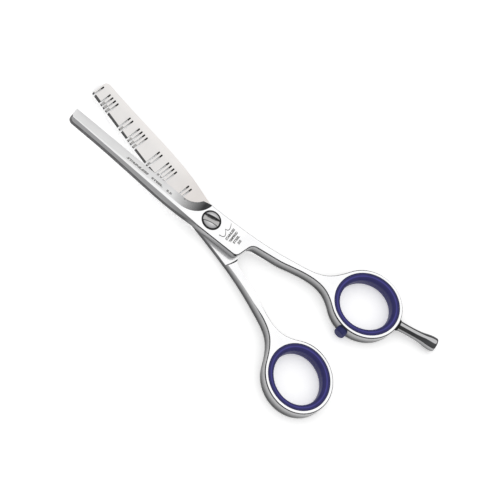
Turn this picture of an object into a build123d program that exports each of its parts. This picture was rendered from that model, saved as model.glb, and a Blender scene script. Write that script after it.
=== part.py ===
# Thinning shears of the 5.5 inch class: a plain cutting half laid over a toothed thinning half.
# The origin is on the pivot axis, in the plane that the shears lie on. +X runs along the line
# that halves the opening, towards the finger loops, and +Z points to the side of the screw head.
# Each half is drawn in its own frame, whose X is the line that the shears close on.
import os
from math import acos, cos, degrees, hypot, radians, sin

from build123d import *

os.makedirs("parts", exist_ok=True)

# Opening between the two halves as the shears lie at rest, in degrees
rest_opening = 11.0

# Thicknesses, from the surface that the shears lie on
half_thickness = 2.7
ride_gap = 0.1
cutting_underside = half_thickness + ride_gap
full_thickness = cutting_underside + half_thickness

# Pivot block, where one half crosses the other
block_half_width = 4.9
block_end = 13.4
block_end_half_width = 4.85
block_end_slant = 1.6
block_middle_half_width = 5.25
block_corner_radius = 2.3
crotch_radius = 3.2
crotch_y = 3.0
crotch_rise = 0.7
crotch_run = 3.8
shoulder_radius = 16.5
shoulder_run = 0.7
cutting_shank_relief = 0.5
cutting_relief_end = 30.0
thinning_shank_relief = 1.2
thinning_relief_end = 39.0

# Shank: distances from the closing line, at shares of the length out to the loop
shank_start = (0.08, 5.3)
shank_outer = (0.40, 7.25)
shank_inner = (0.48, 5.45)
shank_start_slope = 0.03

# Far end of the shank's outer side: shares of the loop's distance along and across the closing line
shank_far = (0.56, 0.6424)

# Neck of the shank: shares of the loop's radius, back from the loop and in from its middle
neck_outer = (0.346, 0.105)
neck_inner = (0.226, 0.485)

# Blades
blade_length = 62.2
edge_y = 1.4
edge_land = 0.25
spine_y = 5.95
spine_tip_y = 4.85
spine_tip_radius = 2.0
heel_x = 12.6
heel_radius = 7.5
grind_width = 4.8
grind_end_radius = 9.8
spine_chamfer_width = 1.15
spine_chamfer_depth = 0.8
spine_flat_tip_y = 3.65
spine_flat_heel_y = 5.05
spine_heel_share = 0.9
spine_middle_sink = 0.15

# Teeth of the thinning blade, counted from the heel towards the tip
first_slit_x = 13.2
slit_width = 0.6
narrow_step = 1.43
medium_step = 3.65
wide_step = 6.67
tip_tooth = 0.8
tooth_root_y = 3.55
tooth_heel_y = 4.0
tooth_middle_y = 2.65
tooth_tip_y = 0.6
tooth_back_y = 6.9
tooth_back_tip_y = 6.35
tooth_back_heel_share = 1.1
tooth_back_middle_share = 0.65
tooth_end_thickness = 1.6
tooth_bevel_y = 3.2
narrow_tooth_bevel = 1.1

# Finger loops and their liners: ovals, each given by its short radius. The long axis of a loop
# slants away from the closing line.
loop_stretch = 0.8
loop_slant = 40.0
liner_radius = 11.9
liner_wall = 2.6
liner_rib = 0.35
liner_rib_width = 1.2
liner_clearance = 0.05
liner_inner_round = 0.95
liner_outer_round = 0.3
loop_wall = 1.15
loop_x = 62.75
loop_outer_join = 150.0
loop_inner_join = 228.0

# Bumper between the loops
bumper_radius = 2.1
bumper_height = 2.2
bumper_angle = -94.0
bumper_stem_radius = 1.0
bumper_round = 0.6
stem_clearance = 0.05
seat_clearance = 0.02

# Finger rest
rest_angle = 11.2
rest_washer = 0.7
rest_length = 15.3
rest_base_radius = 1.95
rest_waist_radius = 1.8
rest_rise_radius = 2.1
rest_flare_radius = 2.68
rest_end_radius = 2.2
rest_waist_share = 0.25
rest_rise_share = 0.62
rest_flare_share = 0.92
rest_stud_radius = 1.25
washer_radius = 2.15

# Pivot screw, its bush and its glide washer
head_radius = 3.6
head_sink = 0.9
head_rise = 1.1
head_rim_sink = 0.1
head_clearance = 0.15
glide_thickness = 0.3
slot_width = 2.3
slot_depth = 1.25
slot_angle = 19.0
shank_radius = 2.4
bush_wall = 0.6
thread_radius = 2.0
thread_clearance = 0.03
running_clearance = 0.03
screw_end_gap = 0.0
screw_end_chamfer = 0.3
shoulder_gap = 0.08

# Edges
top_chamfer = 0.3
bottom_round = 0.85

# Length by which a cutting shape runs past what it cuts
past = 1.0

liner_bore = liner_radius - liner_wall
seat_radius = liner_radius + liner_clearance
groove_radius = seat_radius + liner_rib
loop_radius = seat_radius + loop_wall
loop_drop = hypot(
    (loop_radius + loop_stretch) * sin(radians(loop_slant)),
    loop_radius * cos(radians(loop_slant)),
)
loop_y = loop_drop + bumper_height / 2
rib_bottom = (full_thickness - liner_rib_width) / 2

cutting_frame = Plane.XY.rotated((0, 0, rest_opening / 2))
thinning_frame = Plane.XY.rotated((0, 0, -rest_opening / 2))


def loop_point(side, angle, radius=loop_radius):
    """Point of an oval round the middle of a loop, in the frame of its half."""
    turn = radians(loop_slant)
    along = (radius + loop_stretch) * cos(radians(angle) - turn)
    across = radius * sin(radians(angle) - turn)
    x = loop_x + along * cos(turn) - across * sin(turn)
    y = loop_y + along * sin(turn) + across * cos(turn)
    return (x, side * y)


def loop_reach(angle, radius=loop_radius):
    """Distance from the middle of a loop to an oval round it, along a radial plane."""
    x, y = loop_point(1, angle, radius)
    return hypot(x - loop_x, y - loop_y)


def oval(frame, side, radius, height=0):
    """Filled oval round the middle of a loop."""
    with BuildSketch(frame.offset(height)) as shape:
        with Locations((loop_x, side * loop_y)):
            Ellipse(radius + loop_stretch, radius, rotation=side * loop_slant)
    return shape.sketch


def section_plane(frame, start, end):
    """Plane across the line from start to end, with its X level and its Y pointing up."""
    near = frame.from_local_coords(Vector(*start))
    far = frame.from_local_coords(Vector(*end))
    along = (far - near).normalized()
    return Plane(origin=near, x_dir=Vector(0, 0, 1).cross(along), z_dir=along)


def radial_plane(frame, side, angle, height=0):
    """Plane whose X points outwards from the axis of a loop and whose Y points up."""
    center = frame.from_local_coords(Vector(loop_x, side * loop_y, height))
    rim = frame.from_local_coords(Vector(*loop_point(side, angle), height))
    outwards = (rim - center).normalized()
    return Plane(origin=center, x_dir=outwards, z_dir=outwards.cross(Vector(0, 0, 1)))


def handle_line(side, start):
    """Outline of shank and loop, from the outer side of the pivot block round to its inner corner."""
    outer_turn = loop_outer_join - loop_slant
    inner_turn = loop_inner_join - 360 - loop_slant
    rim = EllipticalCenterArc(
        (loop_x, side * loop_y),
        loop_radius + loop_stretch,
        loop_radius,
        start_angle=inner_turn if side > 0 else -outer_turn,
        arc_size=outer_turn - inner_turn,
        rotation=side * loop_slant,
    )
    outer_end, inner_end = (1, 0) if side > 0 else (0, 1)
    neck_x = loop_x - loop_radius
    Spline(
        start,
        (shank_start[0] * loop_x, side * shank_start[1]),
        (shank_outer[0] * loop_x, side * shank_outer[1]),
        (shank_far[0] * loop_x, side * shank_far[1] * loop_y),
        (neck_x - neck_outer[0] * loop_radius, side * (loop_y - neck_outer[1] * loop_radius)),
        rim @ outer_end,
        tangents=[(1, side * shank_start_slope), (rim % outer_end) * -side],
    )
    crotch = Vector(shoulder_radius + shoulder_run, side * crotch_y)
    crotch_start = crotch + Vector(crotch_run, side * crotch_rise)
    block_corner = Vector(block_end + block_end_slant, -side * block_end_half_width)
    Spline(
        rim @ inner_end,
        (neck_x - neck_inner[0] * loop_radius, side * (loop_y - neck_inner[1] * loop_radius)),
        (shank_inner[0] * loop_x, side * shank_inner[1]),
        crotch_start,
        tangents=[(rim % inner_end) * -side, crotch - crotch_start],
    )
    return FilletPolyline(
        crotch_start,
        crotch,
        block_corner,
        (0, -side * block_middle_half_width),
        radius=[crotch_radius, block_corner_radius],
    )


def cut_loop_seat(frame, side):
    """Hole of a loop and the groove that the rib of its liner snaps into."""
    extrude(
        oval(frame, side, seat_radius, -past), amount=full_thickness + 2 * past, mode=Mode.SUBTRACT
    )
    extrude(
        oval(frame, side, groove_radius, rib_bottom), amount=liner_rib_width, mode=Mode.SUBTRACT
    )


def cut_shoulder(low, high, shank, relief_end):
    """Cleared space over or under the pivot block, with the step up to the shank round it."""
    with BuildSketch(Plane.XZ) as cleared:
        with BuildLine():
            Polyline(
                (0, low),
                (shoulder_radius, low),
                (shoulder_radius + shoulder_run, shank),
                (relief_end, high),
                (relief_end, 2 * high - shank),
                (0, 2 * high - shank),
                close=True,
            )
        make_face()
    revolve(cleared.sketch, axis=Axis.Z, mode=Mode.SUBTRACT)


def cut_radial_hole(plane, angle, radius):
    """Round hole through the wall of a loop, for a stem that is pushed or screwed in."""
    with BuildSketch(plane) as hole:
        with BuildLine():
            Polyline(
                (loop_reach(angle, seat_radius) - past, 0),
                (loop_reach(angle, seat_radius) - past, radius),
                (loop_reach(angle) + past, radius),
                (loop_reach(angle) + past, 0),
                close=True,
            )
        make_face()
    revolve(hole.sketch, axis=Axis(plane.origin, plane.x_dir), mode=Mode.SUBTRACT)


def clear_of_loop(frame, side):
    """Takes the wall of a loop out of what is seated on it."""
    extrude(
        oval(frame, side, loop_radius + seat_clearance), amount=full_thickness, mode=Mode.SUBTRACT
    )


bumper_plane = radial_plane(cutting_frame, 1, bumper_angle, full_thickness / 2)
rest_plane = radial_plane(cutting_frame, 1, rest_angle, full_thickness / 2)
bush_radius = shank_radius + running_clearance + bush_wall
head_seat = full_thickness - head_sink

# Plain cutting half: blade, pivot block, shank and finger loop, forged in one
with BuildPart() as cutting_blade:
    with BuildSketch(cutting_frame):
        with BuildLine():
            tip_edge = (-blade_length, edge_y)
            tip_spine = (-blade_length, -spine_tip_y + spine_tip_radius)
            tip_corner = (-blade_length + spine_tip_radius, -spine_tip_y)
            heel_turn = degrees(acos(1 - (block_half_width - edge_y) / heel_radius))
            Line(tip_edge, (-heel_x, edge_y))
            heel = JernArc((-heel_x, edge_y), (1, 0), heel_radius, heel_turn)
            block_side = handle_line(1, heel @ 1)
            Spline(
                (0, -block_middle_half_width),
                (-spine_heel_share * heel_x, -spine_y),
                (-blade_length / 2, -(spine_y + spine_tip_y) / 2 - spine_middle_sink),
                tip_corner,
                tangents=[block_side % 1, (-1, 0)],
            )
            ThreePointArc(
                tip_corner,
                (
                    -blade_length + spine_tip_radius * (1 - cos(radians(45))),
                    -spine_tip_y + spine_tip_radius * (1 - sin(radians(45))),
                ),
                tip_spine,
            )
            Line(tip_spine, tip_edge)
        make_face()
    extrude(amount=full_thickness)

    # The underside of blade and block is cleared up to the ride plane.
    with BuildSketch(cutting_frame):
        with Locations((block_end / 2, 0)):
            Rectangle(2 * blade_length, 2 * blade_length, align=(Align.MAX, Align.CENTER))
    extrude(amount=cutting_underside, mode=Mode.SUBTRACT)
    under_face = cutting_blade.faces().sort_by(Axis.Z)[0]
    fillet(under_face.edges().filter_by(GeomType.LINE, reverse=True), bottom_round)
    top_face = cutting_blade.faces().sort_by(Axis.Z)[-1]
    chamfer(top_face.edges().sort_by(SortBy.LENGTH)[-1], top_chamfer)
    cut_shoulder(cutting_underside, 0, cutting_shank_relief, cutting_relief_end)

    # Flat grind down to the cutting edge, with a round run-out at the heel
    grind_plane = section_plane(cutting_frame, (-blade_length - past, 0), (-heel_x, 0))
    with BuildSketch(grind_plane) as grind:
        with BuildLine():
            Polyline(
                (edge_y, cutting_underside + edge_land),
                (edge_y - grind_width, full_thickness),
                (edge_y - grind_width, full_thickness + past),
                (edge_y - grind_width + grind_end_radius, full_thickness + past),
                (edge_y - grind_width + grind_end_radius, cutting_underside + edge_land),
                close=True,
            )
        make_face()
    extrude(amount=blade_length + past - heel_x, mode=Mode.SUBTRACT)
    with BuildSketch(section_plane(cutting_frame, (-heel_x, 0), (0, 0))):
        add(grind.sketch_local)
    run_out = cutting_frame.from_local_coords(Vector(-heel_x, edge_y - grind_width + grind_end_radius))
    revolve(axis=Axis(run_out, (0, 0, 1)), mode=Mode.SUBTRACT)

    # Chamfer along the spine
    spine_start = (-blade_length - past, -spine_flat_tip_y)
    spine_plane = section_plane(cutting_frame, spine_start, (0, -spine_flat_heel_y))
    with BuildSketch(spine_plane):
        with BuildLine():
            Polyline(
                (0, full_thickness),
                (-2 * spine_chamfer_width, full_thickness - 2 * spine_chamfer_depth),
                (-2 * spine_chamfer_width, full_thickness + past),
                (0, full_thickness + past),
                close=True,
            )
        make_face()
    extrude(amount=blade_length + heel_x / 2, mode=Mode.SUBTRACT)

    cut_loop_seat(cutting_frame, 1)
    cut_radial_hole(bumper_plane, bumper_angle, bumper_stem_radius + stem_clearance)
    cut_radial_hole(rest_plane, rest_angle, rest_stud_radius + stem_clearance)
    with Locations((0, 0, full_thickness)):
        CounterBoreHole(bush_radius, head_radius + head_clearance, head_sink, full_thickness)

# Toothed thinning half, under the plain one
with BuildPart() as thinning_blade:
    with BuildSketch(thinning_frame):
        with BuildLine():
            block_side = handle_line(-1, (-heel_x / 3, -block_half_width))
            back_corner = (-blade_length + spine_tip_radius, tooth_back_tip_y)
            tip_back = (-blade_length, tooth_back_tip_y - spine_tip_radius)
            Spline(
                (0, block_middle_half_width),
                (-tooth_back_heel_share * heel_x, tooth_back_y),
                (-tooth_back_middle_share * blade_length, tooth_back_y),
                back_corner,
                tangents=[block_side % 1, (-1, 0)],
            )
            ThreePointArc(
                back_corner,
                (
                    -blade_length + spine_tip_radius * (1 - cos(radians(45))),
                    tooth_back_tip_y - spine_tip_radius * (1 - sin(radians(45))),
                ),
                tip_back,
            )
            Line(tip_back, (-blade_length, -tooth_tip_y))
            tooth_line = ThreePointArc(
                (-blade_length, -tooth_tip_y),
                (-(blade_length + heel_x) / 2, -tooth_middle_y),
                (-heel_x, -tooth_heel_y),
            )
            Line((-heel_x, -tooth_heel_y), (-heel_x / 3, -block_half_width))
        make_face()
    extrude(amount=full_thickness)

    # The top of blade and block is cleared down to the ride plane.
    with BuildSketch(thinning_frame.offset(half_thickness)):
        with Locations((block_end / 2, 0)):
            Rectangle(2 * blade_length, 2 * blade_length, align=(Align.MAX, Align.CENTER))
    extrude(amount=full_thickness, mode=Mode.SUBTRACT)
    top_face = thinning_blade.faces().sort_by(Axis.Z)[-1]
    chamfer(top_face.edges().filter_by(GeomType.LINE, reverse=True), top_chamfer)
    cut_shoulder(half_thickness, full_thickness, full_thickness - thinning_shank_relief, thinning_relief_end)
    loop_rim = thinning_blade.faces().sort_by(Axis.Z)[0].edges().sort_by(SortBy.LENGTH)[-1]
    fillet(loop_rim, bottom_round)

    # The underside of the teeth is ground thin towards their ends.
    bevel_slope = (half_thickness - tooth_end_thickness) / (tooth_bevel_y + tooth_heel_y)
    bevel_reach = 1.5 * grind_end_radius
    bevel_plane = section_plane(thinning_frame, (-blade_length - past, 0), (-heel_x, 0))
    with BuildSketch(bevel_plane) as tooth_bevel:
        with BuildLine():
            Polyline(
                (tooth_bevel_y, 0),
                (tooth_bevel_y - bevel_reach, bevel_reach * bevel_slope),
                (tooth_bevel_y - bevel_reach, -past),
                (tooth_bevel_y, -past),
                close=True,
            )
        make_face()
    extrude(amount=blade_length + past - heel_x, mode=Mode.SUBTRACT)
    with BuildSketch(section_plane(thinning_frame, (-heel_x, 0), (0, 0))):
        add(tooth_bevel.sketch_local)
    run_out = thinning_frame.from_local_coords(Vector(-heel_x, tooth_bevel_y - bevel_reach))
    revolve(axis=Axis(run_out, (0, 0, 1)), mode=Mode.SUBTRACT)

    slit_places = []
    slit_steps = (narrow_step, wide_step, narrow_step, narrow_step, narrow_step, medium_step)
    slit_x = first_slit_x
    while slit_x < blade_length - tip_tooth:
        slit_places.append(slit_x)
        slit_x += slit_steps[(len(slit_places) - 1) % len(slit_steps)]
    with BuildSketch(thinning_frame):
        with Locations([(-place, tooth_root_y) for place in slit_places]):
            Rectangle(slit_width, 3 * tooth_heel_y, align=(Align.CENTER, Align.MAX))
            Circle(slit_width / 2)
    extrude(amount=half_thickness, mode=Mode.SUBTRACT)

    # The narrow teeth are bevelled on their ends.
    for near, far in zip(slit_places, slit_places[1:]):
        if far - near > 1.1 * narrow_step:
            continue
        along = (blade_length - (near + far) / 2) / (blade_length - heel_x)
        tooth_end = (tooth_line @ along).Y
        with BuildSketch(section_plane(thinning_frame, (-far, tooth_end), (-near, tooth_end))):
            with BuildLine():
                Polyline(
                    (narrow_tooth_bevel, half_thickness),
                    (-narrow_tooth_bevel, half_thickness - 2 * narrow_tooth_bevel),
                    (-narrow_tooth_bevel, half_thickness + past),
                    (narrow_tooth_bevel, half_thickness + past),
                    close=True,
                )
            make_face()
        extrude(amount=far - near, mode=Mode.SUBTRACT)

    cut_loop_seat(thinning_frame, -1)
    Hole(thread_radius + thread_clearance)

# Pivot screw: domed head with a coin slot, plain shank and threaded end
with BuildPart() as pivot_screw:
    head_bottom = head_seat + glide_thickness
    head_top = full_thickness + head_rise
    shank_bottom = half_thickness + shoulder_gap
    with BuildSketch(Plane.XZ):
        with BuildLine():
            Polyline(
                (0, head_top),
                (0, screw_end_gap),
                (thread_radius - screw_end_chamfer, screw_end_gap),
                (thread_radius, screw_end_gap + screw_end_chamfer),
                (thread_radius, shank_bottom),
                (shank_radius, shank_bottom),
                (shank_radius, head_bottom),
                (head_radius, head_bottom),
                (head_radius, full_thickness - head_rim_sink),
            )
            TangentArc((0, head_top), (head_radius, full_thickness - head_rim_sink), tangent=(1, 0))
        make_face()
    revolve(axis=Axis.Z)
    with BuildSketch(Plane.XY.offset(head_top - slot_depth).rotated((0, 0, slot_angle))):
        Rectangle(3 * head_radius, slot_width)
    extrude(amount=slot_depth, mode=Mode.SUBTRACT)

# Bush in the bore of the cutting half, round the plain shank of the screw
with BuildPart() as pivot_bush:
    with BuildSketch(Plane.XY.offset(cutting_underside)):
        Circle(bush_radius)
        Circle(shank_radius + running_clearance, mode=Mode.SUBTRACT)
    extrude(amount=head_seat - cutting_underside)

# Glide washer under the screw head
with BuildPart() as glide_washer:
    with BuildSketch(Plane.XY.offset(head_seat)):
        Circle(head_radius)
        Circle(shank_radius + running_clearance, mode=Mode.SUBTRACT)
    extrude(amount=glide_thickness)


def build_liner(frame, side):
    """Plastic liner of a loop, with the rib that holds it in its groove."""
    with BuildPart() as liner:
        extrude(oval(frame, side, liner_radius), amount=full_thickness)
        fillet(liner.edges().filter_by(GeomType.ELLIPSE), liner_outer_round)
        extrude(oval(frame, side, liner_radius + liner_rib, rib_bottom), amount=liner_rib_width)
        extrude(
            oval(frame, side, liner_bore, -past), amount=full_thickness + 2 * past, mode=Mode.SUBTRACT
        )
        upper_mouth = liner.faces().sort_by(Axis.Z)[-1].edges().sort_by(SortBy.LENGTH)[0]
        lower_mouth = liner.faces().sort_by(Axis.Z)[0].edges().sort_by(SortBy.LENGTH)[0]
        fillet([upper_mouth, lower_mouth], liner_inner_round)
    return liner


finger_liner = build_liner(cutting_frame, 1)
thumb_liner = build_liner(thinning_frame, -1)

# Bumper that the thumb loop closes against
with BuildPart() as bumper:
    bumper_end = loop_reach(bumper_angle) + bumper_height
    bumper_axis = Axis(bumper_plane.origin, bumper_plane.x_dir)
    with BuildSketch(bumper_plane):
        with BuildLine():
            Polyline(
                (loop_reach(bumper_angle, seat_radius), 0),
                (loop_reach(bumper_angle, seat_radius), bumper_radius),
                (bumper_end, bumper_radius),
                (bumper_end, 0),
                close=True,
            )
        make_face()
    revolve(axis=bumper_axis)
    fillet(bumper.faces().sort_by(bumper_axis)[-1].edges(), bumper_round)
    clear_of_loop(cutting_frame, 1)
    stem_end = loop_reach(bumper_angle, groove_radius) + stem_clearance
    with BuildSketch(bumper_plane):
        with BuildLine():
            Polyline(
                (stem_end, 0),
                (stem_end, bumper_stem_radius),
                (bumper_end - bumper_height / 2, bumper_stem_radius),
                (bumper_end - bumper_height / 2, 0),
                close=True,
            )
        make_face()
    revolve(axis=bumper_axis)

# Rubber washer under the finger rest
with BuildPart() as rest_gasket:
    rest_base = loop_reach(rest_angle) + rest_washer
    rest_axis = Axis(rest_plane.origin, rest_plane.x_dir)
    with BuildSketch(rest_plane):
        with BuildLine():
            Polyline(
                (loop_reach(rest_angle, seat_radius), rest_stud_radius + stem_clearance),
                (loop_reach(rest_angle, seat_radius), washer_radius),
                (rest_base, washer_radius),
                (rest_base, rest_stud_radius + stem_clearance),
                close=True,
            )
        make_face()
    revolve(axis=rest_axis)
    clear_of_loop(cutting_frame, 1)

# Finger rest, a turned trumpet screwed through the wall of the finger loop
with BuildPart() as finger_rest:
    stud_end = loop_reach(rest_angle, groove_radius) + stem_clearance
    with BuildSketch(rest_plane):
        with BuildLine():
            Polyline(
                (rest_base + rest_length, 0),
                (stud_end, 0),
                (stud_end, rest_stud_radius),
                (rest_base, rest_stud_radius),
                (rest_base, rest_base_radius),
            )
            Spline(
                (rest_base, rest_base_radius),
                (rest_base + rest_waist_share * rest_length, rest_waist_radius),
                (rest_base + rest_rise_share * rest_length, rest_rise_radius),
                (rest_base + rest_flare_share * rest_length, rest_flare_radius),
                (rest_base + rest_length, rest_end_radius),
                tangents=[(1, -0.1), (0.3, -1)],
            )
            Line((rest_base + rest_length, rest_end_radius), (rest_base + rest_length, 0))
        make_face()
    revolve(axis=rest_axis)

cutting_blade.part.label = "cutting_blade"
export_step(cutting_blade.part, "parts/cutting_blade.step")
thinning_blade.part.label = "thinning_blade"
export_step(thinning_blade.part, "parts/thinning_blade.step")
pivot_screw.part.label = "pivot_screw"
export_step(pivot_screw.part, "parts/pivot_screw.step")
pivot_bush.part.label = "pivot_bush"
export_step(pivot_bush.part, "parts/pivot_bush.step")
glide_washer.part.label = "glide_washer"
export_step(glide_washer.part, "parts/glide_washer.step")
finger_liner.part.label = "finger_liner"
export_step(finger_liner.part, "parts/finger_liner.step")
thumb_liner.part.label = "thumb_liner"
export_step(thumb_liner.part, "parts/thumb_liner.step")
bumper.part.label = "bumper"
export_step(bumper.part, "parts/bumper.step")
rest_gasket.part.label = "rest_gasket"
export_step(rest_gasket.part, "parts/rest_gasket.step")
finger_rest.part.label = "finger_rest"
export_step(finger_rest.part, "parts/finger_rest.step")
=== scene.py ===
from math import cos, pi, radians, sin, sqrt

import bmesh
import bpy
from mathutils import Matrix, Vector


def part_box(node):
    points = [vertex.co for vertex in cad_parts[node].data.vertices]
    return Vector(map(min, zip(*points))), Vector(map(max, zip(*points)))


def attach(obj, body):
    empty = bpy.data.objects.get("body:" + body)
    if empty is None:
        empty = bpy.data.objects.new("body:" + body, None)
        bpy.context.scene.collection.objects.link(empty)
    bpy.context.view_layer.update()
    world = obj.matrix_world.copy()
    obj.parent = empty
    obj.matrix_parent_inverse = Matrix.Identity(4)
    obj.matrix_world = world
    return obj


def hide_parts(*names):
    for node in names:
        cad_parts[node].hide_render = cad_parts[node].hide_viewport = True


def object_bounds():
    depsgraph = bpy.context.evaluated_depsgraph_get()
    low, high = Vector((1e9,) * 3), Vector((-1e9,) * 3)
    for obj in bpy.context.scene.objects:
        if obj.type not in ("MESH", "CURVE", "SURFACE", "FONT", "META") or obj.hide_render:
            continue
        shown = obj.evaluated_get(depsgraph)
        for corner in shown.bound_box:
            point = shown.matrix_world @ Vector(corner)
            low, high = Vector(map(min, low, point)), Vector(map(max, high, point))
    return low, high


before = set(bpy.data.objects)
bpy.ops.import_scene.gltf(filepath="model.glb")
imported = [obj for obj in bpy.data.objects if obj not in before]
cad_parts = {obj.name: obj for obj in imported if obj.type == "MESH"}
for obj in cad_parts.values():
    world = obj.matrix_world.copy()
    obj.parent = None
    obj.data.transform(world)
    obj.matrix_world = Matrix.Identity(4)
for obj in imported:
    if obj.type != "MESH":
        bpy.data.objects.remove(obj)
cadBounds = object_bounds()
mm = 0.001

# Each half lies half of the opening away from the closing line.
halfOpening = 5.5


class Wire:
    # a socket that can stand in sums and products
    def __init__(self, tree, socket):
        self.tree = tree
        self.socket = socket

    def combine(self, operation, first, second=0.0):
        node = self.tree.nodes.new("ShaderNodeMath")
        node.operation = operation
        for slot, term in zip(node.inputs, (first, second)):
            if isinstance(term, Wire):
                self.tree.links.new(term.socket, slot)
            else:
                slot.default_value = term
        return Wire(self.tree, node.outputs[0])

    def __add__(self, other):
        return self.combine("ADD", self, other)

    def __radd__(self, other):
        return self.combine("ADD", other, self)

    def __sub__(self, other):
        return self.combine("SUBTRACT", self, other)

    def __rsub__(self, other):
        return self.combine("SUBTRACT", other, self)

    def __mul__(self, other):
        return self.combine("MULTIPLY", self, other)

    def __rmul__(self, other):
        return self.combine("MULTIPLY", other, self)

    def __abs__(self):
        return self.combine("ABSOLUTE", self)


class Finish:
    # one material: its node tree, its Principled shader and the way to add nodes
    def __init__(self, name):
        self.material = bpy.data.materials.new(name)
        self.material.use_nodes = True
        self.tree = self.material.node_tree
        self.shader = self.tree.nodes["Principled BSDF"]

    def node(self, kind, settings=None, inputs=None, output=0):
        node = self.tree.nodes.new("ShaderNode" + kind)
        for key, value in (settings or {}).items():
            setattr(node, key, value)
        for key, value in (inputs or {}).items():
            self.feed(node.inputs[key], value)
        return Wire(self.tree, node.outputs[output])

    def feed(self, socket, value):
        if isinstance(value, Wire):
            self.tree.links.new(value.socket, socket)
        elif isinstance(value, tuple) and socket.type == "RGBA" and len(value) == 3:
            socket.default_value = (*value, 1)
        else:
            socket.default_value = value

    def set(self, **values):
        for key, value in values.items():
            self.feed(self.shader.inputs[inputNames.get(key, key)], value)

    def place(self, turn=0.0, scale=(1, 1, 1)):
        # object coordinates, turned about Z and then scaled
        here = self.node("TexCoord", output="Object")
        turned = self.node("Mapping", {"vector_type": "POINT"}, {"Vector": here, "Rotation": (0, 0, turn)})
        return self.node("VectorMath", {"operation": "MULTIPLY"}, {0: turned, 1: scale})

    def pick(self, vector, axis):
        return self.node("SeparateXYZ", None, {0: vector}, output="xyz".index(axis))

    def facing(self, axis):
        # how far the surface faces along an axis of the piece
        return self.pick(self.node("TexCoord", output="Normal"), axis)

    def noise(self, at, scale=1.0, detail=2.0, rough=0.5):
        return self.node(
            "TexNoise", None, {"Vector": at, "Scale": scale, "Detail": detail, "Roughness": rough}
        )

    def ramp(self, value, low, high):
        # 0 below low, 1 above high
        return self.node(
            "MapRange", {"clamp": True}, {"Value": value, "From Min": low, "From Max": high}
        )

    def span(self, value, ends):
        # the same between two places in millimetres
        return self.ramp(value, ends[0] * mm, ends[1] * mm)

    def band(self, value, low, high, soft):
        # 1 between low and high, with soft sides
        return self.ramp(value, low - soft, low) * (1 - self.ramp(value, high, high + soft))

    def blend(self, factor, first, second):
        # sockets 0, 6 and 7 are the factor and the two colours
        return self.node("Mix", {"data_type": "RGBA"}, {0: factor, 6: first, 7: second}, output=2)

    def bump(self, height, distance, strength=1.0):
        return self.node("Bump", None, {"Height": height, "Distance": distance, "Strength": strength})


inputNames = {
    "color": "Base Color",
    "metal": "Metallic",
    "rough": "Roughness",
    "normal": "Normal",
    "coat": "Coat Weight",
    "specular": "Specular IOR Level",
}


# Painted light and shade for polished steel, set in the base colour by how far a face looks up: bright
# painted reflections on faces that look up, painted shade on faces that look down, and walls painted darker
# towards their foot
paintedSteelShading = {
    "under": (0.07, 0.07, 0.073),
    "wallTop": (0.42, 0.42, 0.425),
    "wallFoot": (0.05, 0.05, 0.052),
    "edge": (0.045, 0.045, 0.047),
    "spine": (0.40, 0.40, 0.405),
    "grind": (0.90, 0.90, 0.90),
    "flat": (0.95, 0.95, 0.955),
}
paintedShadingFacing = {
    "under": (-0.6, -0.1),
    "edge": (0.45, 0.62),
    "spine": (0.76, 0.80),
    "grind": (0.84, 0.875),
    "outline": (0.5, 0.955),
    "flat": (0.94, 0.985),
    "wallHeight": (1.6, 4.2),
    "outlineStart": (2.0, 5.0),
}


def paintShadeByFacing(finish, flat=None):
    tones = paintedSteelShading
    facing = paintedShadingFacing
    up = finish.facing("z")
    level = abs(up)
    here = finish.place()
    climb = finish.span(finish.pick(here, "z"), facing["wallHeight"])
    wall = finish.blend(climb, tones["wallFoot"], tones["wallTop"])
    tone = finish.blend(finish.ramp(up, *facing["under"]), tones["under"], wall)
    for name in ("edge", "spine", "grind"):
        tone = finish.blend(finish.ramp(level, *facing[name]), tone, tones[name])
    # painted shade: a dark outline on the edge bevels along the handle
    handle = finish.span(finish.pick(here, "x"), facing["outlineStart"])
    tone = finish.blend(finish.band(level, *facing["outline"], 0.02) * handle, tone, tones["edge"])
    return finish.blend(finish.ramp(level, *facing["flat"]), tone, flat or tones["flat"])


def fromAxis(finish):
    # distance from the pivot's axis
    level = finish.node("VectorMath", {"operation": "MULTIPLY"}, {0: finish.place(), 1: (1, 1, 0)})
    return finish.node("VectorMath", {"operation": "LENGTH"}, {0: level}, output=1)


grainLook = {
    "size": (9000.0, 160.0, 9000.0),
    "polished": 0.12,
    "satin": 0.30,
    "satinTone": (0.45, 0.44, 0.43),
    "depth": 0.000004,
}
wearLook = {
    "smudge": (0.50, 0.51, 0.54),
    "smudgeSize": 130.0,
    "scratch": (0.40, 0.40, 0.42),
    "scratchSize": (260, 15000, 260),
    "scratchTurn": 0.45,
    "strength": 0.10,
}


def wearSteel(finish, turn, color, satin):
    # brushed grain, finger marks and stray scratches over a tone
    look = wearLook
    grain = finish.noise(finish.place(turn, grainLook["size"]), 1.0, 3.0, 0.6)
    smudge = finish.noise(finish.place(turn), look["smudgeSize"], 4.0, 0.6)
    strokes = finish.noise(finish.place(turn + look["scratchTurn"], look["scratchSize"]), 1.0, 1.0, 0.5)
    scratch = finish.ramp(strokes, 0.68, 0.76)
    color = finish.blend(look["strength"] * finish.ramp(smudge, 0.45, 0.75), color, look["smudge"])
    color = finish.blend(satin * 0.12 * grain, color, grainLook["satinTone"])
    color = finish.blend(look["strength"] * scratch, color, look["scratch"])
    rough = grainLook["polished"] + (grainLook["satin"] - grainLook["polished"]) * satin
    rough = rough + 0.06 * grain + 0.08 * smudge + look["strength"] * scratch
    finish.set(color=color, metal=1.0, rough=rough)
    finish.set(normal=finish.bump(grain + 0.6 * scratch, grainLook["depth"], 0.3))


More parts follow.
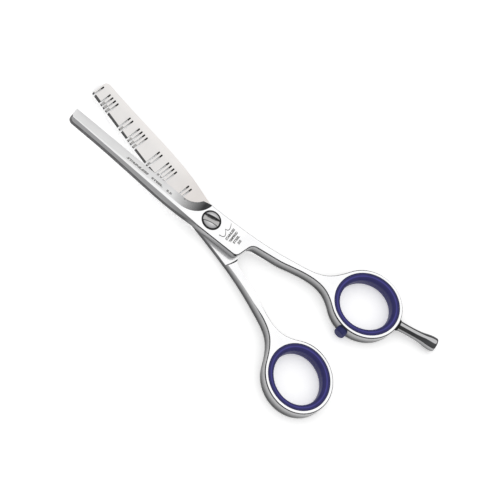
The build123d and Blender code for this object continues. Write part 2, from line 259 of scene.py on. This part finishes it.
# Lengths are in millimetres from the pivot, along the blade or away from the axis
cuttingLook = {
    "bladeEnd": (-13, -8),
    "landReflection": (0.85, 0.85, 0.85),
    "landEnd": (-42, -14),
    "back": (0.075, 0.075, 0.077),
    "backEnd": (-8, 0),
    "scoopShade": (0.05, 0.05, 0.052),
    "scoopStart": (-17, -5),
    # sink: painted shade in the counterbore round the screw head
    "sink": (0.03, 0.03, 0.03),
    "sinkShadeRim": (3.76, 3.8),
}


def cuttingSteel(name):
    look = cuttingLook
    finish = Finish(name)
    turn = radians(-halfOpening)
    lengthwise = finish.pick(finish.place(turn), "x")
    up = finish.facing("z")
    color = paintShadeByFacing(finish)
    # painted reflection: the blade's flat faces are dimmer along the blade, away from the pivot
    landReflection = (1 - finish.span(lengthwise, look["landEnd"])) * finish.ramp(up, 0.95, 0.985)
    color = finish.blend(landReflection, color, look["landReflection"])
    # painted shade: the side walls on the blade side of the pivot are dark
    back = (1 - finish.ramp(abs(up), 0.4, 0.6)) * (1 - finish.span(lengthwise, look["backEnd"]))
    color = finish.blend(back, color, look["back"])
    # painted shade in the heel scoop, darker towards the pivot
    scoopShade = finish.band(abs(up), 0.83, 0.955, 0.02) * finish.span(lengthwise, look["scoopStart"])
    color = finish.blend(scoopShade, color, look["scoopShade"])
    # painted shade: everything within the counterbore rim round the screw head is dark
    color = finish.blend(1 - finish.span(fromAxis(finish), look["sinkShadeRim"]), color, look["sink"])
    wearSteel(finish, turn, color, 0.7 * (1 - finish.span(lengthwise, look["bladeEnd"])))
    return finish.material


thinningLook = {
    "bladeEnd": (-6, 5),
    "teeth": (0.81, 0.79, 0.775),
    "teethEnd": (4.3, 4.5),
    "spine": (0.90, 0.87, 0.845),
    "spineStart": (3, 9),
    "heel": (0.77, 0.73, 0.705),
    "heelStart": (-24, -10),
    "toothTipShade": (0.50, 0.49, 0.48),
    "toothTipEnd": (2, 3),
    "slitEdgeShade": (0.05, 0.05, 0.05),
    "slitWallShade": (0.03, 0.03, 0.03),
}


def thinningSteel(name):
    look = thinningLook
    finish = Finish(name)
    turn = radians(halfOpening)
    here = finish.place(turn)
    lengthwise = finish.pick(here, "x")
    crosswise = finish.pick(here, "y")
    up = finish.facing("z")
    blade = 1 - finish.span(lengthwise, look["bladeEnd"])
    teeth = blade * (1 - finish.span(crosswise, look["teethEnd"]))
    # painted reflection on the blade's upward faces: lighter towards the spine, darker towards the heel
    satin = finish.blend(finish.span(crosswise, look["spineStart"]), look["teeth"], look["spine"])
    satin = finish.blend(finish.span(lengthwise, look["heelStart"]), satin, look["heel"])
    color = finish.blend(finish.ramp(up, 0.9, 0.98) * blade, paintShadeByFacing(finish), satin)
    # painted shade on the bevels at the tooth tips
    tipShade = finish.band(up, 0.6, 0.8, 0.05) * (1 - finish.span(crosswise, look["toothTipEnd"]))
    color = finish.blend(teeth * tipShade, color, look["toothTipShade"])
    # painted shade on the slit walls and tooth sides
    color = finish.blend(teeth * finish.ramp(abs(finish.facing("x")), 0.25, 0.4), color, look["slitEdgeShade"])
    # painted shade on the steep walls of the teeth and slits
    shadedWalls = 1 - finish.ramp(abs(up), 0.3, 0.5)
    color = finish.blend(0.92 * teeth * shadedWalls, color, look["slitWallShade"])
    wearSteel(finish, turn, color, blade)
    return finish.material


def restSteel(name, turn):
    finish = Finish(name)
    # painted reflection: the rest's upward faces get a mid-grey tone, with the painted shading of the steel
    # around it
    wearSteel(finish, turn, paintShadeByFacing(finish, (0.50, 0.50, 0.505)), 0.1)
    return finish.material


screwLook = {
    "slope": (0.30, 0.30, 0.305),
    "crown": (0.85, 0.85, 0.855),
    "smudge": (0.5, 0.5, 0.52),
    "paintedShade": (0.03, 0.03, 0.031),
    "rim": (3.02, 3.16),
    "ringPitch": 0.12,
    "slotTurn": -19.0,
    "slotHalf": 1.15,
    "slotFloorShade": (0.46, 0.455, 0.45),
    "slotFloorTop": (5.5, 5.6),
    "lipShade": (0.05, 0.05, 0.05),
    "lipWidth": 0.26,
    "lipStart": (5.6, 5.7),
}


def turnedSteel(name):
    # lathe rings round the pivot axis, with a painted reflection on the crown and painted shade on the rim
    # round the head, the slot floor and the slot walls
    look = screwLook
    finish = Finish(name)
    reach = fromAxis(finish)
    rings = finish.node("Math", {"operation": "SINE"}, {0: reach * (2 * pi / (look["ringPitch"] * mm))})
    smudge = finish.noise(finish.place(), 800.0, 3.0, 0.5)
    up = finish.facing("z")
    level = abs(up)
    height = finish.pick(finish.place(), "z")
    # painted reflection: the screw head's crown is light and its slopes darker
    color = finish.blend(finish.ramp(level, 0.84, 0.98), look["slope"], look["crown"])
    color = finish.blend(0.10 * smudge, color, look["smudge"])
    # painted shade on the floor of the slot
    slotFloorShade = (1 - finish.span(height, look["slotFloorTop"])) * finish.ramp(up, 0.97, 0.99)
    color = finish.blend(slotFloorShade, color, look["slotFloorShade"])
    across = abs(finish.pick(finish.place(radians(look["slotTurn"])), "y"))
    lipEnds = (look["slotHalf"] * mm, (look["slotHalf"] + look["lipWidth"]) * mm)
    # painted shade along the lips of the slot
    lipShade = finish.band(across, *lipEnds, 0.05 * mm) * finish.span(height, look["lipStart"])
    color = finish.blend(0.95 * lipShade, color, look["lipShade"])
    # painted shade on the steep faces and beyond the head's rim, in the gap round it
    color = finish.blend(finish.ramp(level, 0.76, 0.86), look["paintedShade"], color)
    color = finish.blend(finish.span(reach, look["rim"]), color, look["paintedShade"])
    finish.set(color=color, metal=1.0, rough=0.17 + 0.04 * rings + 0.10 * smudge)
    finish.set(normal=finish.bump(rings, 0.000003, 0.35))
    return finish.material


linerLook = {
    "rib": 0.35,
    "ribWidth": 1.2,
    "wall": 2.6,
    "round": 0.3,
    "groove": 0.06,
    "steps": 128,
    "stretch": 0.8,
    "slant": 40.0,
    "crown": 10.7,
    "crownHalf": 0.06,
    "crownSoft": 0.3,
}


def crownHighlight(finish, center, slant):
    # a painted highlight line along the top of an oval liner
    look = linerLook
    middle = {0: finish.node("TexCoord", output="Object"), 1: (center[0], center[1], 0)}
    away = finish.node("VectorMath", {"operation": "SUBTRACT"}, middle)
    turned = finish.node("VectorRotate", {"rotation_type": "Z_AXIS"}, {"Vector": away, "Angle": -slant})
    squeeze = look["crown"] / (look["crown"] + look["stretch"])
    flat = finish.node("VectorMath", {"operation": "MULTIPLY"}, {0: turned, 1: (squeeze, 1, 0)})
    reach = finish.node("VectorMath", {"operation": "LENGTH"}, {0: flat}, output=1)
    low = (look["crown"] - look["crownHalf"]) * mm
    high = (look["crown"] + look["crownHalf"]) * mm
    return finish.band(reach, low, high, look["crownSoft"] * mm) * finish.ramp(finish.facing("z"), 0.7, 0.98)


plasticLook = {"pores": 9000.0, "cloud": 300.0, "highlightGain": 2.6, "specular": 0.3, "depth": 0.00001}


def mouldedPlastic(name, deep, light, rough, oval=None):
    look = plasticLook
    finish = Finish(name)
    here = finish.place()
    pores = finish.noise(here, look["pores"], 2.0, 0.6)
    cloud = finish.noise(here, look["cloud"], 3.0, 0.6)
    color = finish.blend(cloud, deep, light)
    if oval:
        # painted highlight along the liner's crown, with lower roughness there
        highlight = crownHighlight(finish, *oval)
        highlightTone = tuple(look["highlightGain"] * part for part in light)
        color = finish.blend((0.35 + 0.5 * cloud) * highlight, color, highlightTone)
        rough = rough - 0.08 * highlight
    finish.set(color=color, rough=rough + 0.14 * cloud + 0.08 * pores, coat=0.04 + 0.06 * cloud)
    finish.set(specular=look["specular"], normal=finish.bump(pores + 0.6 * cloud, look["depth"], 0.4))
    return finish.material


rubberLook = {
    "deep": (0.004, 0.004, 0.004),
    "light": (0.016, 0.016, 0.017),
    "pores": 12000.0,
    "specular": 0.2,
}


def dullRubber(name):
    look = rubberLook
    finish = Finish(name)
    pores = finish.noise(finish.place(), look["pores"], 3.0, 0.7)
    finish.set(color=finish.blend(pores, look["deep"], look["light"]), specular=look["specular"])
    finish.set(rough=0.6 + 0.25 * pores, normal=finish.bump(pores, 0.00001, 0.5))
    return finish.material


inkLook = {"deep": (0.05, 0.05, 0.05), "light": (0.22, 0.215, 0.21), "burn": 7000.0}


def etchedInk(name):
    look = inkLook
    finish = Finish(name)
    burn = finish.noise(finish.place(), look["burn"], 3.0, 0.7)
    finish.set(color=finish.blend(burn, look["deep"], look["light"]), metal=0.2, rough=0.5 + 0.25 * burn)
    finish.set(normal=finish.bump(burn, 0.000006, 0.5))
    return finish.material


def middle(nodeName):
    low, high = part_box(nodeName)
    return (low + high) / 2


restTurn = middle("finger_rest") - middle("finger_liner")
# deep tone, light tone and roughness of each plastic
plastics = {
    "violet": ((0.010, 0.009, 0.085), (0.026, 0.023, 0.145), 0.36),
    "bumper": ((0.008, 0.009, 0.075), (0.022, 0.024, 0.125), 0.42),
    "bearing": ((0.55, 0.54, 0.50), (0.66, 0.65, 0.61), 0.5),
}
finishes = {
    "cutting": cuttingSteel("polishedSteel"),
    "thinning": thinningSteel("satinSteel"),
    "rest": restSteel("restSteel", -restTurn.to_2d().angle_signed(Vector((1, 0)))),
    "screw": turnedSteel("screwSteel"),
    "bumper": mouldedPlastic("bumperPlastic", *plastics["bumper"]),
    "bearing": mouldedPlastic("bearingPlastic", *plastics["bearing"]),
    "gasket": dullRubber("blackRubber"),
    "mark": etchedInk("etchedInk"),
}
print("finishes made:", len(finishes))


def addPiece(name, mesh, finish, body, replaced=()):
    piece = bpy.data.objects.new(name, mesh)
    bpy.context.scene.collection.objects.link(piece)
    mesh.materials.clear()
    mesh.materials.append(finish)
    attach(piece, body)
    if replaced:
        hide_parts(*replaced)
    return piece


edgeLook = {"merge": 0.000002, "flat": radians(0.6), "corner": radians(20), "width": 0.00009}
linerCorner = radians(40)


def sharpEdges(shape, angle):
    return [edge for edge in shape.edges if len(edge.link_faces) == 2 and edge.calc_face_angle(0) > angle]


def takeMesh(shape, name):
    mesh = bpy.data.meshes.new(name)
    shape.to_mesh(mesh)
    shape.free()
    return mesh


def refine(nodeName, pieceName, finish, body, slotName, width=None):
    # a merged copy of a CAD node; where its edges are finely divided, as on the blades,
    # the overlap clamp leaves next to nothing of the bevel
    look = edgeLook
    shape = bmesh.new()
    shape.from_mesh(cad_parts[nodeName].data)
    bmesh.ops.remove_doubles(shape, verts=shape.verts, dist=look["merge"])
    bmesh.ops.dissolve_limit(shape, angle_limit=look["flat"], verts=shape.verts, edges=shape.edges)
    bmesh.ops.bevel(
        shape,
        geom=sharpEdges(shape, look["corner"]),
        offset=width or look["width"],
        offset_type="OFFSET",
        affect="EDGES",
        segments=2,
        profile=0.5,
        material=-1,
        clamp_overlap=True,
    )
    for face in shape.faces:
        face.smooth = len(face.verts) < 5
    bmesh.ops.triangulate(shape, faces=[face for face in shape.faces if len(face.verts) > 4])
    for edge in sharpEdges(shape, look["corner"]):
        edge.smooth = False
    return addPiece(pieceName, takeMesh(shape, pieceName), finish, body, (nodeName,))


refined = [
    ("cutting_blade", "cuttingBlade", "cutting", "cutting_half", "polished_steel"),
    ("thinning_blade", "thinningBlade", "thinning", "thinning_half", "satin_steel"),
    ("pivot_screw", "pivotScrew", "screw", "tension_screw", "screw_steel", 0.00016),
    ("finger_rest", "fingerRest", "rest", "cutting_half", "polished_steel"),
    ("bumper", "loopBumper", "bumper", "cutting_half", "bumper_plastic"),
    ("rest_gasket", "restGasket", "gasket", "cutting_half", "black_rubber"),
]
for nodeName, pieceName, look, body, slotName, *width in refined:
    piece = refine(nodeName, pieceName, finishes[look], body, slotName, *width)
    print(pieceName, len(piece.data.polygons), "faces")
for nodeName in ("pivot_bush", "glide_washer"):
    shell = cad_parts[nodeName]
    shell.data.materials.clear()
    shell.data.materials.append(finishes["bearing"])


def makeLiner(nodeName, pieceName, body, side):
    # a crowned oval ring with its snap rib and a fine parting line round the hole
    look = linerLook
    low, high = (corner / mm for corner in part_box(nodeName))
    center = (low + high) / 2
    slant = side * radians(look["slant"] + halfOpening)
    part = look["stretch"] * cos(slant) ** 2
    reach = sqrt(part**2 - look["stretch"] * part + ((high.x - low.x) / 2) ** 2) - part
    outer = reach - look["rib"]
    hole = outer - look["wall"]
    half = (high.z - low.z) / 2
    ribHalf = look["ribWidth"] / 2
    upper = [
        (outer, ribHalf),
        (outer, half - look["round"]),
        (outer - 0.09, half - 0.09),
        (outer - look["round"], half),
        (outer - 1.25, half - 0.02),
        (outer - 1.65, half - 0.11),
        (outer - 2.10, half - 0.36),
        (outer - 2.42, half - 0.80),
        (hole + 0.04, half - 1.3),
        (hole, half - 1.9),
        (hole, look["groove"]),
    ]
    profile = [(reach, ribHalf)] + upper + [(hole + look["groove"], 0.0)]
    profile += [(spot, -rise) for spot, rise in reversed(upper)] + [(reach, -ribHalf)]
    shape = bmesh.new()
    corners = [shape.verts.new((spot, 0, rise)) for spot, rise in profile]
    rim = [shape.edges.new(pair) for pair in zip(corners, corners[1:] + corners[:1])]
    bmesh.ops.spin(
        shape,
        geom=corners + rim,
        cent=(0, 0, 0),
        axis=(0, 0, 1),
        dvec=(0, 0, 0),
        angle=2 * pi,
        steps=look["steps"],
        use_merge=True,
        use_duplicate=False,
    )
    bmesh.ops.remove_doubles(shape, verts=shape.verts, dist=0.002)
    turn = Matrix.Rotation(slant, 3, "Z")
    for vert in shape.verts:
        around = vert.co.to_2d().normalized()
        longer = Vector((around.x * look["stretch"], 0, 0))
        vert.co = (center + turn @ (vert.co + longer)) * mm
    bmesh.ops.recalc_face_normals(shape, faces=shape.faces)
    for face in shape.faces:
        face.smooth = True
    for edge in sharpEdges(shape, linerCorner):
        edge.smooth = False
    # the liner's plastic, with a painted highlight along its crown
    finish = mouldedPlastic(pieceName + "Plastic", *plastics["violet"], (center * mm, slant))
    return addPiece(pieceName, takeMesh(shape, pieceName), finish, body, (nodeName,))


makeLiner("finger_liner", "fingerLiner", "cutting_half", 1)
makeLiner("thumb_liner", "thumbLiner", "thinning_half", -1)
print("liners made")


# Words in their places: text, middle of the baseline, height, length and lean, in millimetres
bladeWords = [
    ("STAINLESS", -32.6, 1.35, 10.0, 0.35),
    ("STEEL", -23.6, 1.25, 5.2, 0.0),
    ("5.5", -18.0, 1.25, 2.3, 0.0),
]
blockWords = [
    ("STAINLESS", 8.9, 1.0, 5.6, 0.0),
    ("TEMPERED", 10.35, 0.95, 5.2, 0.0),
    ("STEEL", 11.75, 0.95, 3.9, 0.0),
    ("55", 13.2, 0.95, 1.9, 0.0),
]
markLook = {
    "rise": 0.012,
    "sink": 0.02,
    "top": 5.5,
    "grindY": -2.35,
    "grindTop": -3.4,
    "grindRun": 4.8,
    "grindDrop": 2.45,
    "blockY": 0.45,
    "bold": 0.05,
}


def letterMesh(text, lean):
    curve = bpy.data.curves.new("letters", "FONT")
    curve.body = text
    curve.shear = lean
    curve.resolution_u = 3
    curve.extrude = 0.5
    curve.offset = markLook["bold"]
    holder = bpy.data.objects.new("letters", curve)
    bpy.context.scene.collection.objects.link(holder)
    bpy.context.view_layer.update()
    mesh = bpy.data.meshes.new_from_object(holder.evaluated_get(bpy.context.evaluated_depsgraph_get()))
    bpy.data.objects.remove(holder)
    return mesh


def placeWord(name, text, height, length, lean, place):
    # letters squeezed to their height and length, centred on the origin of the place
    mesh = letterMesh(text, lean)
    spots = [vert.co for vert in mesh.vertices]
    low = Vector([min(spot[axis] for spot in spots) for axis in range(3)])
    high = Vector([max(spot[axis] for spot in spots) for axis in range(3)])
    for vert in mesh.vertices:
        share = [(vert.co[axis] - low[axis]) / (high[axis] - low[axis]) for axis in range(3)]
        depth = share[2] * (markLook["rise"] + markLook["sink"]) - markLook["sink"]
        vert.co = place @ (Vector(((share[0] - 0.5) * length, share[1] * height, depth)) * mm)
    return addPiece(name, mesh, finishes["mark"], "cutting_half")


def placing(origin, along, up):
    # matrix that lays flat work on a face, in the frame of the cutting half
    across = along.cross(up)
    turn = Matrix((along, up, across)).transposed().to_4x4()
    half = Matrix.Rotation(radians(halfOpening), 4, "Z")
    return half @ Matrix.Translation(origin * mm) @ turn


def makeMarks():
    look = markLook
    fall = look["grindDrop"] / look["grindRun"]
    slope = Vector((0, 1, -fall)).normalized()
    for text, x, height, length, lean in bladeWords:
        z = look["top"] - fall * (look["grindY"] - look["grindTop"])
        place = placing(Vector((x, look["grindY"], z)), Vector((1, 0, 0)), slope)
        placeWord("bladeWord" + text.replace(".", ""), text, height, length, lean, place)
    for text, x, height, length, lean in blockWords:
        place = placing(Vector((x, look["blockY"], look["top"])), Vector((0, 1, 0)), Vector((-1, 0, 0)))
        placeWord("blockWord" + text.title(), text, height, length, lean, place)


swashLook = {
    "strokes": 60,
    "waves": 13.5,
    "start": (6.35, -3.3),
    "run": (0.35, 7.2),
    "swing": (1.15, -0.75),
    "lag": 0.6,
    "squash": 0.85,
    "sway": 0.5,
    "width": 0.24,
    "pressure": 6.7,
}


def swashPoint(share):
    look = swashLook
    phase = look["waves"] * share
    swing = sin(phase + look["lag"]) * (look["swing"][0] + look["swing"][1] * share)
    x = look["start"][0] + look["run"][0] * share - look["squash"] * swing
    return Vector((x, look["start"][1] + look["run"][1] * share + look["sway"] * cos(phase), 0))


def makeSwash():
    # a written flourish over the words on the pivot block, one pen stroke swept along a wave
    look = swashLook
    strokes = look["strokes"]
    spots = [swashPoint(step / strokes) for step in range(strokes + 1)]
    shape = bmesh.new()
    pen = None
    for step, spot in enumerate(spots):
        ahead = spots[min(step + 1, strokes)] - spots[max(step - 1, 0)]
        side = Vector((-ahead.y, ahead.x, 0)).normalized() * look["width"] / 2
        side = side * (0.6 + 0.6 * abs(sin(look["pressure"] * step / strokes)))
        ends = [(spot + side) * mm, (spot - side) * mm]
        if not pen:
            pen = [shape.verts.new(end) for end in ends]
            nib = shape.edges.new(pen)
            continue
        drawn = bmesh.ops.extrude_edge_only(shape, edges=[nib])["geom"]
        fresh = [item for item in drawn if isinstance(item, bmesh.types.BMVert)]
        nib = [item for item in drawn if isinstance(item, bmesh.types.BMEdge)][0]
        pen = [min(fresh, key=lambda vert: (vert.co - last.co).length) for last in pen]
        for vert, end in zip(pen, ends):
            vert.co = end
    bmesh.ops.recalc_face_normals(shape, faces=shape.faces)
    bmesh.ops.solidify(shape, geom=shape.faces, thickness=(markLook["rise"] + markLook["sink"]) * mm)
    lift = (markLook["top"] + markLook["rise"]) * mm - max(vert.co.z for vert in shape.verts)
    bmesh.ops.translate(shape, verts=shape.verts, vec=(0, 0, lift))
    turn = Matrix.Rotation(radians(halfOpening), 3, "Z")
    bmesh.ops.rotate(shape, verts=shape.verts, cent=(0, 0, 0), matrix=turn)
    bmesh.ops.recalc_face_normals(shape, faces=shape.faces)
    return addPiece("blockSwash", takeMesh(shape, "blockSwash"), finishes["mark"], "cutting_half")


makeMarks()
makeSwash()
print("marks made")


floorLook = {
    "size": 3.0,
    "color": (0.93, 0.93, 0.93),
    "fibre": (0.95, 0.95, 0.95),
    "drop": 0.00002,
    "glow": 0.36,
}


def makeFloor():
    look = floorLook
    shape = bmesh.new()
    bmesh.ops.create_grid(shape, x_segments=1, y_segments=1, size=look["size"] / 2)
    bmesh.ops.translate(shape, verts=shape.verts, vec=(0, 0, cadBounds[0][2] - look["drop"]))
    mesh = takeMesh(shape, "studioFloor")
    floor = bpy.data.objects.new("studioFloor", mesh)
    bpy.context.scene.collection.objects.link(floor)
    finish = Finish("paperFloor")
    fibres = finish.noise(finish.node("TexCoord", output="Object"), 60.0, 4.0, 0.6)
    finish.set(color=finish.blend(fibres, look["color"], look["fibre"]), rough=0.9, specular=0.1)
    finish.shader.inputs["Emission Color"].default_value = (1, 1, 1, 1)
    finish.shader.inputs["Emission Strength"].default_value = look["glow"]
    mesh.materials.append(finish.material)


lightLook = {
    "key": {"azimuth": 87.0, "elevation": 60.0, "distance": 1.2, "size": 1.3, "power": 1.4},
    "fill": {"azimuth": -150.0, "elevation": 40.0, "distance": 1.4, "size": 0.8, "power": 0.4},
}
worldStrength = 0.80


def direction(azimuth, elevation):
    flat = cos(radians(elevation))
    return Vector((flat * cos(radians(azimuth)), flat * sin(radians(azimuth)), sin(radians(elevation))))


def makeLights(aim):
    for name, look in lightLook.items():
        lamp = bpy.data.lights.new(name + "Light", "AREA")
        lamp.shape = "SQUARE"
        lamp.size = look["size"]
        lamp.energy = look["power"]
        holder = bpy.data.objects.new(name + "Light", lamp)
        bpy.context.scene.collection.objects.link(holder)
        away = direction(look["azimuth"], look["elevation"])
        holder.location = aim + away * look["distance"]
        holder.rotation_euler = away.to_track_quat("Z", "Y").to_euler()
    world = bpy.data.worlds.new("studioWorld")
    bpy.context.scene.world = world
    world.use_nodes = True
    backdrop = world.node_tree.nodes["Background"]
    backdrop.inputs["Color"].default_value = (1, 1, 1, 1)
    backdrop.inputs["Strength"].default_value = worldStrength


cameraLook = {
    "azimuth": -92.8,
    "elevation": 60.0,
    "roll": 47.0,
    "lens": 400.0,
    "field": 0.17643,
    "aim": (0.01584, 0.00399, 0.00275),
}


def makeCamera():
    look = cameraLook
    lens = bpy.data.cameras.new("mainCamera")
    lens.lens = look["lens"]
    lens.sensor_width = 36.0
    lens.clip_end = 50.0
    camera = bpy.data.objects.new("mainCamera", lens)
    bpy.context.scene.collection.objects.link(camera)
    distance = look["field"] * look["lens"] / lens.sensor_width
    turn = Matrix.Rotation(radians(look["azimuth"] + 90), 4, "Z")
    tilt = Matrix.Rotation(radians(90 - look["elevation"]), 4, "X")
    roll = Matrix.Rotation(radians(look["roll"]), 4, "Z")
    away = direction(look["azimuth"], look["elevation"])
    camera.matrix_world = Matrix.Translation(Vector(look["aim"]) + away * distance) @ turn @ tilt @ roll
    bpy.context.scene.camera = camera


makeFloor()
makeLights(Vector(cameraLook["aim"]))
makeCamera()
bpy.context.scene.view_settings.view_transform = "Standard"
print("stage set")
